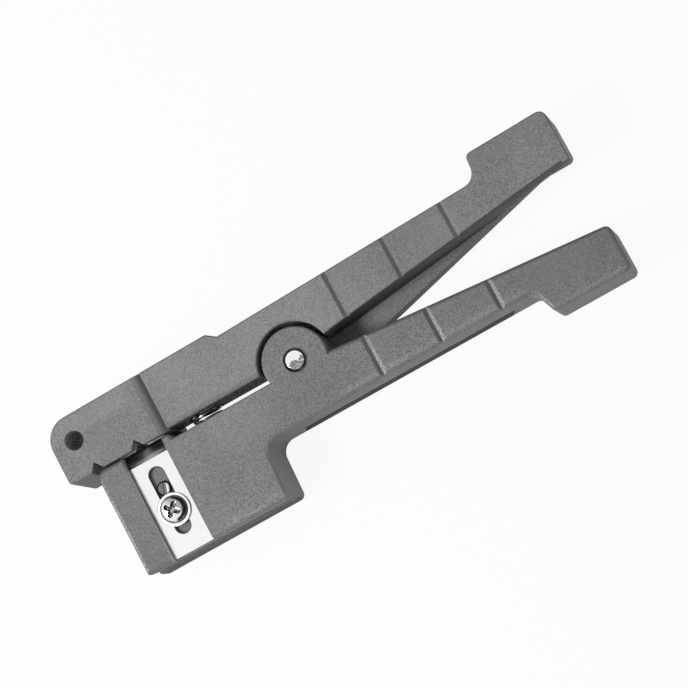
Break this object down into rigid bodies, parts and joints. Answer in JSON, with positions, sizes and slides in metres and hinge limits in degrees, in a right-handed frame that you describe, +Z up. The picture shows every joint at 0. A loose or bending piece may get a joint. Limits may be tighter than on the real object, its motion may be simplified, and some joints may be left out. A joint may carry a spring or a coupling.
{
  "type": "cable jacket stripper",
  "caption": "Hand tool with a spring-closed clamp arm and V-notched jaw over an adjustable blade, two plain grip handles and a lanyard hole.",
  "frame": {"origin": "where the pivot axis meets the flat far side that the tool lies on", "axes": "+X from the pivot towards the handles' ends, +Y towards the clamp arm, +Z up along the pivot axis to the near side with the blade"},
  "size_m": [0.1404, 0.0503, 0.0187],
  "materials": {
    "grey_plastic": "fine grained matt moulded surface",
    "bright_steel": "bright zinc-plated",
    "blade_steel": "ground and polished",
    "spring_steel": "dark drawn wire",
    "brass": "turned"
  },
  "bodies": {
    "body": {"blade_body": "grey_plastic", "pivot_pin": "bright_steel", "screw_insert": "brass", "guide_pin": "bright_steel", "body_spring_pin": "spring_steel", "clamp_spring": "spring_steel"},
    "arm": {"clamp_arm": "grey_plastic", "arm_spring_pin": "spring_steel"},
    "blade": {"blade": "blade_steel"},
    "washer": {"blade_washer": "bright_steel"},
    "screw": {"blade_screw": "bright_steel"}
  },
  "joints": [
    {"name": "arm_pivot", "type": "hinge", "parent": "body", "child": "arm", "pos_m": [0, 0, 0], "axis": [0, 0, -1], "range_deg": [0, 12.5], "stiffness_Nm_per_rad": 1.3, "springref_deg": -14.32, "deforming": ["clamp_spring"]},
    {"name": "blade_adjust", "type": "slide", "parent": "body", "child": "blade", "axis": [0, 1, 0], "range_m": [-0.003, 0.0012]},
    {"name": "screw_lift", "type": "slide", "parent": "body", "child": "washer", "axis": [0, 0, 1], "range_m": [0, 0.0012]},
    {"name": "screw_turn", "type": "hinge", "parent": "washer", "child": "screw", "pos_m": [-0.0424, -0.0165, 0.0164], "axis": [0, 0, 1], "range_deg": [0, 720]}
  ],
  "couplings": [
    {"joint": "screw_turn", "follows": "screw_lift", "rad_per_m": 10472}
  ]
}
